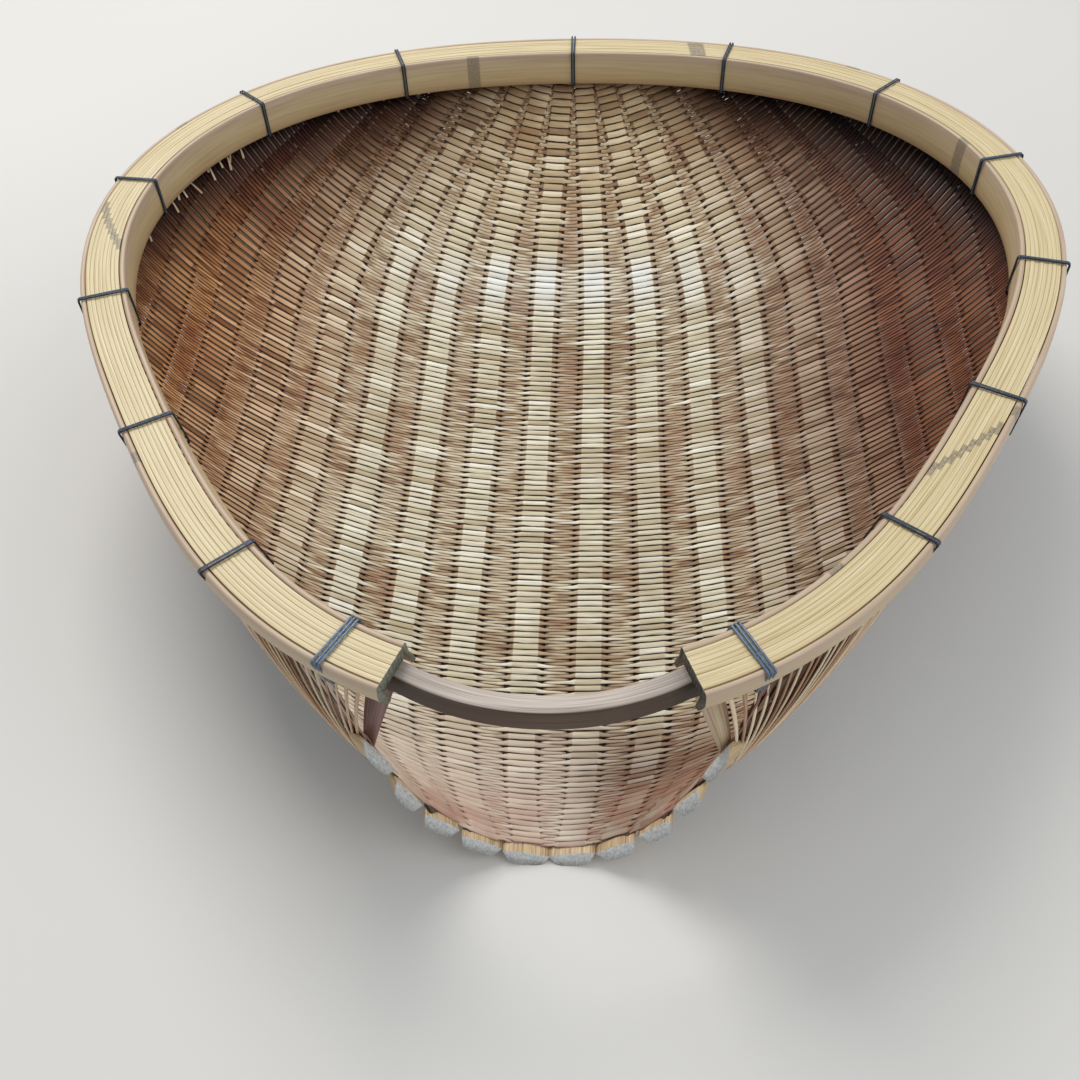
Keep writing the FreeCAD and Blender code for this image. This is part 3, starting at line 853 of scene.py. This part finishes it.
def under_rim(side, angle, offset):
    """Point just above the underside of the rim."""
    across, z = lean_section(math.radians(angle), offset, RIM_UNDERSIDE + RIM_ENTRY)
    x, y = rim_point(side * math.radians(angle), across)
    return np.array([float(x), float(y), float(z)])


def ribbon(start, end, bulge, facing, widths, thickness):
    """Rings of a flat splint bent from start to end; widths are at both ends."""
    share = np.linspace(0.0, 1.0, 14)[:, None]
    middle = 0.5 * (start + end) + bulge
    path = (1 - share) ** 2 * start + 2 * share * (1 - share) * middle + share ** 2 * end
    tangent = unit(np.gradient(path, axis=0))
    outward = unit(np.broadcast_to(np.asarray(facing, float), path.shape))
    flat = unit(np.cross(outward, tangent))
    outward = np.cross(tangent, flat)
    wide = widths[0] + (widths[1] - widths[0]) * share[:, :, None]
    outline = rounded_outline(1.0, 1.0, 0.25, 1)[None]
    outline = outline * np.concatenate([wide, 0 * wide + thickness], 2)
    return sweep_points(path, flat, outward, outline)


def fan(side, material):
    """Weft ends drawn down outside the mouth wall, from the rim to the last lip end."""
    root, ahead = wall_root(side)
    strands = Bundle()
    for index, angle in enumerate(np.linspace(*FAN_ANGLES, FAN_COUNT)):
        jitter = CHANCE.uniform(-FAN_JITTER, FAN_JITTER)
        top = under_rim(side, angle + jitter, FAN_RIM_OFFSET)
        foot = root + ahead * (FOOT_PITCH * (FAN_COUNT - index) - FOOT_START)
        first, lost = FAN_BULGE_SHARES
        reach = FAN_BULGE * (first - lost * index / FAN_COUNT)
        rings = ribbon(top, foot, reach * np.array([side, -0.3, -0.8]), (side * 0.8, -0.6, -0.2),
                       FAN_WIDTHS, FAN_THICKNESS)
        strands.add(rings, seed=3.1 * index, tint=CHANCE.uniform(0.2, 1.0), raised=1.0, fan=1.0)
    strands.mesh("fan_" + side_name(side), material, "woven_bamboo")


def slivers(material):
    """Pale pointed weft ends that stand up under the rim on the left."""
    ends = Bundle()
    for angle in np.arange(*SLIVER_ANGLES):
        if CHANCE.uniform() < SLIVER_GAPS:
            continue
        jitter = CHANCE.uniform(-SLIVER_JITTER, SLIVER_JITTER)
        x, y = rim_point(math.radians(angle + jitter))
        long = CHANCE.uniform(*SLIVER_LENGTHS)
        slide = CHANCE.uniform(*SLIVER_SLIDES)
        y = np.array([float(y) - slide, float(y) + slide])
        across = np.copysign(SHEET.half_length(y) - [SLIVER_TOP + long, SLIVER_TOP], x)
        point, _, _, normal = SHEET.frame(y, across)
        foot, top = point + normal * np.array(SLIVER_LIFTS)[:, None]
        rings = ribbon(foot, top, normal[0] * CHANCE.uniform(0.0, 2.0), normal[0],
                       SLIVER_WIDTHS, SLIVER_THICKNESS)
        ends.add(rings, seed=2.3 * angle, tint=CHANCE.uniform(0.5, 1.0), raised=1.0, fan=1.0)
    ends.mesh("rim_slivers", material, "woven_bamboo")


def edge_strip(side, material):
    """Flat plate on the upright edge of the mouth, wide at the rim."""
    root, ahead = wall_root(side)
    top = under_rim(side, EDGE_ANGLE, EDGE_OFFSET)
    foot = root - ahead * EDGE_FORWARD
    rings = ribbon(top, foot, np.array([side * 3.0, -2.0, -4.0]), (side * 0.45, -0.85, 0.1),
                   EDGE_WIDTHS, EDGE_THICKNESS)
    name = "edge_strip_" + side_name(side)
    piece = make_tube(name + "_slat", rings, material, "edge_bamboo", seed=7.0 * side)
    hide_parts(name)


# ================= materials =================

def colour(red, green, blue):
    """Linear colour from screen values of 0 to 255."""
    screen = np.array([red, green, blue]) / 255.0
    linear = np.where(screen <= 0.04045, screen / 12.92, ((screen + 0.055) / 1.055) ** 2.4)
    return (*linear.tolist(), 1.0)


class Nodes:
    """Short calls that add nodes to one material."""

    def __init__(self, name, roughness=0.5):
        self.material = bpy.data.materials.new(name)
        self.material.use_nodes = True
        self.tree = self.material.node_tree
        self.shader = self.tree.nodes["Principled BSDF"]
        self.shader.inputs["Roughness"].default_value = roughness

    def put(self, socket, value):
        """Feed a socket from a node's output, a number or a tone of red, green and blue."""
        if isinstance(value, bpy.types.NodeSocket):
            self.tree.links.new(value, socket)
        else:
            socket.default_value = colour(*value) if isinstance(value, tuple) else value

    def node(self, kind, *inputs, **settings):
        """Add a node; the inputs feed its first sockets in order."""
        node = self.tree.nodes.new("ShaderNode" + kind)
        for key, value in settings.items():
            setattr(node, key, value)
        for socket, value in zip(node.inputs, inputs):
            self.put(socket, value)
        return node

    def attribute(self, name, output="Fac"):
        return self.node("Attribute", attribute_name=name).outputs[output]

    def axes(self):
        """X, Y and Z of the place on the basket, in metres."""
        return self.node("SeparateXYZ", self.place()).outputs[:3]

    def facing_up(self):
        """1 where the surface faces up, 0 where it is upright."""
        normal = self.node("NewGeometry").outputs["Normal"]
        return self.node("SeparateXYZ", normal).outputs["Z"]

    def place(self):
        return self.node("TexCoord").outputs["Object"]

    def stretch(self, vector, scale):
        node = self.node("Mapping", vector)
        node.inputs["Scale"].default_value = scale
        return node.outputs["Vector"]

    def fibre(self, along, across, detail=4.0):
        """Noise drawn out along the grain, in waves per millimetre along and across it."""
        vector = self.stretch(self.attribute("grain", "Vector"), (along, across, 1.0))
        return self.noise(vector, 1.0, detail)

    def noise(self, vector, scale=1.0, detail=2.0):
        node = self.node("TexNoise", vector)
        node.inputs["Scale"].default_value = scale
        node.inputs["Detail"].default_value = detail
        return node.outputs["Fac"]

    def ramp(self, value, *stops):
        node = self.node("ValToRGB", value)
        elements = node.color_ramp.elements
        for _ in range(len(stops) - 2):
            elements.new(0.5)
        for element, (place, tone) in zip(elements, stops):
            element.position = place
            element.color = colour(*tone)
        return node.outputs["Color"]

    def range(self, value, low, high, to_low=0.0, to_high=1.0):
        return self.node("MapRange", value, low, high, to_low, to_high).outputs["Result"]

    def math(self, kind, a, b=0.0):
        return self.node("Math", a, b, operation=kind).outputs[0]

    def product(self, value, *others):
        for other in others:
            value = self.math("MULTIPLY", value, other)
        return value

    def mix(self, factor, a, b, kind="MIX"):
        """Mix of two tones; the node's first six sockets are for its other kinds of data."""
        node = self.node("Mix", factor, data_type="RGBA", blend_type=kind)
        self.put(node.inputs[6], a)
        self.put(node.inputs[7], b)
        return node.outputs[2]

    # Darkens a tone by multiplying it: used for real stains and also for painted shade
    def darkening(self, factor, tone, shade):
        return self.mix(factor, tone, shade, "MULTIPLY")

    def finish(self, tone, bump=None, strength=0.0, distance=0.0):
        self.put(self.shader.inputs["Base Color"], tone)
        if bump is not None:
            node = self.node("Bump")
            node.inputs["Strength"].default_value = strength
            node.inputs["Distance"].default_value = distance
            self.put(node.inputs["Height"], bump)
            self.put(self.shader.inputs["Normal"], node.outputs["Normal"])
        return self.material


def weft_material():
    """Splints: first the tones of the weave, then the stains, painted shade and painted highlight of
    each part of the bowl.
    """
    m = Nodes("woven_bamboo", 0.55)
    m.shader.inputs["Specular IOR Level"].default_value = 0.25
    x, y, z = m.axes()
    side = m.math("ABSOLUTE", x)
    tint = m.attribute("tint")
    fibre = m.fibre(0.05, 2.2, 3.0)
    patch = m.noise(m.place(), 24.0, 3.0)
    below = m.attribute("below")
    tone = woven_tone(m, y, side, tint, fibre, patch)
    # Painted shade on the outer faces of the splints beside the spout
    outside_shade = m.product(m.range(y, -0.12, -0.16), m.range(side, 0.08, 0.095), below)
    tone = m.darkening(outside_shade, tone, (48, 26, 20))
    tone = wall_tone(m, tone, x, y, z, side)
    under_rim_shade = m.product(m.range(z, 0.09, 0.112), m.range(side, 0.04, 0.11),
                                m.range(y, 0.0, 0.08), m.range(below, 0.0, 1.0, 1.0, 0.0))
    tone = m.darkening(under_rim_shade, tone, (92, 54, 36))
    glare = m.product(m.range(y, 0.095, 0.12), m.range(y, 0.15, 0.125), m.range(side, 0.12, 0.04),
                      m.range(m.attribute("brick"), 0.5, 0.6, 0.08, 0.6))
    tone = m.mix(glare, tone, (236, 240, 240))
    tone = spout_tone(m, tone, x, y, patch)
    tone = m.mix(m.range(m.attribute("fan"), 0.5, 0.6), tone, free_end_tone(m, tint, fibre))
    return m.finish(tone, fibre, 0.25, 0.0003)


def woven_tone(m, y, side, tint, fibre, patch):
    """Pale bricks over the ribs in the middle, browner strands around them, with painted shade where
    they dive and on their edges.
    """
    strand = strand_tone(m, tint, fibre, patch)
    middle = m.product(m.range(side, 0.12, 0.19, 1.0, 0.0), m.range(y, 0.17, 0.23, 1.0, 0.35),
                       m.range(y, -0.24, -0.19, 0.15, 1.0))
    brick = m.mix(middle, strand, brick_tone(m, tint, fibre, patch))
    tone = m.mix(m.range(m.attribute("brick"), 0.5, 0.6), strand, brick)
    height = m.range(m.attribute("raised"), EDGE_LEVEL, 0.3)
    # Painted shade: darker the deeper a face lies in the weave, unchanged where it is raised
    depth = m.ramp(height, (0.0, (26, 14, 9)), (0.35, (104, 78, 60)),
                   (0.62, (236, 230, 222)), (1.0, (255, 255, 255)))
    return m.darkening(1.0, tone, depth)


def strand_tone(m, tint, fibre, patch):
    """Uneven splints, dull brown to straw, with brown and with pale patches."""
    tone = m.ramp(tint, (0.1, (146, 116, 90)), (0.35, (188, 166, 136)),
                  (0.6, (214, 200, 172)), (0.9, (240, 234, 214)))
    tone = m.mix(m.range(patch, 0.52, 0.66, 0.0, 0.55), tone, (164, 122, 92))
    tone = m.mix(m.range(patch, 0.46, 0.36, 0.0, 0.5), tone, (226, 216, 192))
    return m.mix(m.range(fibre, 0.42, 0.66, 0.0, 0.3), tone, (118, 90, 68))


def brick_tone(m, tint, fibre, patch):
    """Pale straw of the splints where they lie over a rib."""
    tone = m.ramp(tint, (0.1, (186, 170, 138)), (0.3, (212, 202, 174)),
                  (0.6, (228, 220, 196)), (0.95, (246, 242, 226)))
    tone = m.mix(m.range(fibre, 0.42, 0.66, 0.0, 0.45), tone, (150, 132, 98))
    return m.mix(m.range(patch, 0.5, 0.66, 0.0, 0.4), tone, (176, 156, 124))


def wall_tone(m, tone, x, y, z, side):
    """Darker reddish right wall, partly a stain and partly painted shade; tan left wall; painted shade
    in the back corners and towards the top under the rim; warmer back.
    """
    # Right wall: partly a reddish stain, partly painted shade
    tone = m.darkening(m.range(x, 0.09, 0.2), tone, (158, 104, 80))
    tone = m.darkening(m.range(x, -0.12, -0.22), tone, (226, 176, 134))
    # Painted shade in the back corners under the rim
    corner_shade = m.product(m.range(z, 0.06, 0.105), m.range(side, 0.05, 0.12), m.range(y, 0.06, 0.15))
    tone = m.darkening(corner_shade, tone, (150, 98, 68))
    # Painted shade towards the top, under the rim
    tone = m.darkening(m.range(z, 0.095, 0.12, 0.0, 0.5), tone, (150, 102, 76))
    return m.darkening(m.range(y, 0.12, 0.24, 0.0, 0.8), tone, (248, 230, 202))


def spout_tone(m, tone, x, y, patch):
    """Greyed spout, dark on its right, with reddish stains along the lip."""
    grey = m.mix(m.range(x, -0.005, 0.035), (220, 204, 188), (96, 58, 48))
    tone = m.mix(m.range(y, -0.19, -0.23, 0.0, 0.6), tone, grey)
    darkening = m.product(m.range(y, -0.235, -0.262, 0.0, 0.7), m.range(patch, 0.4, 0.6))
    return m.mix(darkening, tone, (168, 118, 100))


def free_end_tone(m, tint, fibre):
    """Tan of the weft ends in the fans and under the rim."""
    blend = m.math("ADD", m.math("MULTIPLY", tint, 0.6), m.math("MULTIPLY", fibre, 0.4))
    return m.ramp(blend, (0.35, (150, 112, 86)), (0.5, (196, 164, 130)), (0.7, (222, 202, 172)))


def bamboo_material(name, pale, middle, dark, skin_and_shade_tones=()):
    """Split bamboo; the tones by height colour a hoop from its lower edge up: its skin colour, with
    painted shade towards the lower edge.
    """
    m = Nodes(name, 0.45)
    fibre = m.fibre(0.02, 0.5 if skin_and_shade_tones else 1.6)
    tone = m.ramp(fibre, (0.3, dark), (0.5, middle), (0.7, pale))
    cloud = m.fibre(0.012, 0.06, 3.0)
    tone = m.mix(m.range(cloud, 0.45, 0.7, 0.0, 0.5), tone, middle)
    if skin_and_shade_tones:
        # Tones by height, with painted shade towards the lower edge of the hoop
        height = m.range(m.axes()[2], MM * RIM_UNDERSIDE, MM * RIM_TOP)
        tone = m.mix(0.55, tone, m.ramp(height, *skin_and_shade_tones))
    patch = m.fibre(0.9, 1.2, 2.0)
    scar = m.product(m.range(m.attribute("scar"), 0.25, 0.4), m.range(patch, 0.35, 0.6, 0.5, 1.0))
    tone = m.mix(scar, tone, (132, 120, 102))
    return m.finish(sawn_ends(m, tone), fibre, 0.2, 0.0003)


def sawn_ends(m, tone):
    """Rough grey cuts across the bamboo, darkened with painted shade, paler at the left of the mouth.
    """
    speck = m.noise(m.stretch(m.place(), (900.0, 900.0, 900.0)), 1.0, 3.0)
    # Painted shade on the cut faces: the right one nearly black, the left one grey
    right = m.ramp(speck, (0.3, (24, 22, 20)), (0.7, (84, 78, 68)))
    left = m.ramp(speck, (0.3, (80, 84, 72)), (0.7, (132, 134, 116)))
    cut = m.attribute("cut")
    tone = m.mix(m.range(cut, 0.2, 0.3), tone, left)
    return m.mix(m.range(cut, 0.8, 0.9), tone, right)


def slat_material():
    """Ribs: straw slats and their shoulders darkened with painted shade, and pale grey cut ends."""
    m = Nodes("rib_bamboo", 0.5)
    fibre = m.fibre(0.03, 1.6)
    tone = m.ramp(fibre, (0.3, (140, 108, 80)), (0.5, (190, 162, 124)), (0.7, (212, 190, 152)))
    speck = m.noise(m.stretch(m.place(), (1100.0, 1100.0, 420.0)), 1.0, 3.0)
    end = m.ramp(speck, (0.3, (164, 162, 156)), (0.5, (188, 190, 188)), (0.7, (208, 207, 201)))
    tone = m.mix(m.range(m.attribute("cut"), 0.5, 0.7), tone, end)
    # Painted shade: the ribs show only in the shaded gaps of the weave
    tone = m.darkening(m.attribute("shade"), tone, (44, 28, 18))
    return m.finish(tone, fibre, 0.2, 0.0003)


def bar_material():
    """Dark bar with a pale flat top; its dark front is partly the smoked skin and partly painted shade.
    """
    m = Nodes("bar_bamboo", 0.5)
    fibre = m.fibre(0.02, 1.4)
    top = m.ramp(fibre, (0.3, (150, 132, 120)), (0.5, (182, 168, 156)), (0.7, (206, 196, 186)))
    front = m.ramp(fibre, (0.3, (40, 24, 12)), (0.5, (72, 47, 28)), (0.7, (104, 78, 52)))
    # Front and top chosen by facing: the dark front is partly the smoked skin, partly painted shade
    tone = m.mix(m.range(m.facing_up(), 0.4, 0.8), front, top)
    ends = m.range(m.math("ABSOLUTE", m.axes()[0]), 0.03, 0.075, 0.0, 0.8)
    tone = m.darkening(ends, tone, (118, 112, 108))
    return m.finish(tone, fibre, 0.25, 0.0004)


def wire_material():
    """Dark coated wire, with a painted blue-grey highlight between its turns."""
    m = Nodes("tie_wire", 0.35)
    wire_mottle = m.noise(m.attribute("grain", "Vector"), 0.8, 3.0)
    tone = m.ramp(wire_mottle, (0.35, (14, 17, 22)), (0.65, (44, 54, 66)))
    # Painted highlight on the sides of the turns that face each other
    painted_shine = m.product(m.range(m.attribute("inner"), 0.3, 0.8), m.range(wire_mottle, 0.3, 0.6, 0.5, 1.0))
    tone = m.mix(painted_shine, tone, (112, 132, 156))
    m.shader.inputs["Metallic"].default_value = 0.3
    return m.finish(tone, wire_mottle, 0.2, 0.0002)


# ================= scene =================

def floor():
    """Plain pale floor; its corners are in metres."""
    mesh = bpy.data.meshes.new("floor")
    corners = [(-6.0, -6.0, 0.0), (6.0, -6.0, 0.0), (6.0, 6.0, 0.0), (-6.0, 6.0, 0.0)]
    mesh.from_pydata(corners, [], [(0, 1, 2, 3)])
    plane = bpy.data.objects.new("floor", mesh)
    bpy.context.scene.collection.objects.link(plane)
    m = Nodes("pale_floor", 0.6)
    cloud = m.noise(m.place(), 0.8)
    mesh.materials.append(m.finish(m.ramp(cloud, (0.4, (206, 203, 198)), (0.6, (212, 209, 204)))))


def area_light(name, place, target, size, power, tone=(1, 1, 1)):
    data = bpy.data.lights.new(name, "AREA")
    data.energy = power
    data.size = size
    data.color = tone
    lamp = bpy.data.objects.new(name, data)
    lamp.location = place
    lamp.rotation_euler = (Vector(target) - Vector(place)).to_track_quat("-Z", "Y").to_euler()
    bpy.context.scene.collection.objects.link(lamp)


def camera():
    data = bpy.data.cameras.new("camera")
    data.sensor_width = CAMERA_SENSOR
    data.lens = CAMERA_LENS
    view = bpy.data.objects.new("camera", data)
    view.location = CAMERA_PLACE
    turn = math.radians(CAMERA_TURN)
    pitch = math.radians(CAMERA_PITCH)
    ahead = Vector((-math.sin(turn) * math.cos(pitch), math.cos(turn) * math.cos(pitch),
                    -math.sin(pitch)))
    basis = ahead.to_track_quat("-Z", "Y").to_matrix().to_4x4()
    roll = Matrix.Rotation(math.radians(CAMERA_ROLL), 4, "Z")
    view.rotation_euler = (basis @ roll).to_euler()
    bpy.context.scene.collection.objects.link(view)
    bpy.context.scene.camera = view


def build():
    weft = weft_material()
    slat = slat_material()
    # Hoop tones by height: the darker lower edge is painted shade
    skin_and_shade_tones = ((0.0, (150, 122, 92)), (0.2, (184, 160, 118)), (0.6, (200, 182, 144)),
                  (0.9, (178, 156, 142)))
    hoop = bamboo_material("hoop_bamboo", (206, 188, 152), (192, 168, 128), (170, 138, 104), skin_and_shade_tones)
    strip = bamboo_material("strip_bamboo", (216, 202, 164), (204, 186, 144), (182, 158, 114))
    bar = bar_material()
    left_edge = bamboo_material("edge_bamboo_left", (150, 116, 108), (118, 84, 80), (80, 54, 52))
    right_edge = bamboo_material("edge_bamboo_right", (206, 186, 156), (184, 160, 130), (150, 122, 96))
    wire = wire_material()
    weave(weft)
    for index, number in enumerate(rib_numbers()):
        rib(index, number, slat)
        if abs(number) < LIP_RIB_COUNT / 2:
            lip_end(index, number, slat)
    hoops(hoop)
    strips(strip)
    mouth_bar(bar)
    for index in range(len(TIE_ANGLES)):
        tie(index, wire)
    fan(-1, weft)
    fan(1, weft)
    slivers(weft)
    edge_strip(-1, left_edge)
    edge_strip(1, right_edge)


def stage():
    floor()
    world = bpy.data.worlds.new("world")
    world.use_nodes = True
    world.node_tree.nodes["Background"].inputs["Color"].default_value = (0.9, 0.95, 1.0, 1.0)
    world.node_tree.nodes["Background"].inputs["Strength"].default_value = 0.6
    bpy.context.scene.world = world
    bpy.context.scene.view_settings.view_transform = "Standard"
    area_light("key", (-0.6, 1.2, 1.8), (0, 0, 0.05), 1.2, 32.0, (1.0, 0.98, 0.95))
    area_light("fill", (1.4, -0.6, 1.4), (0, 0, 0.05), 1.5, 12.0, (0.95, 0.97, 1.0))
    camera()


build()
stage()
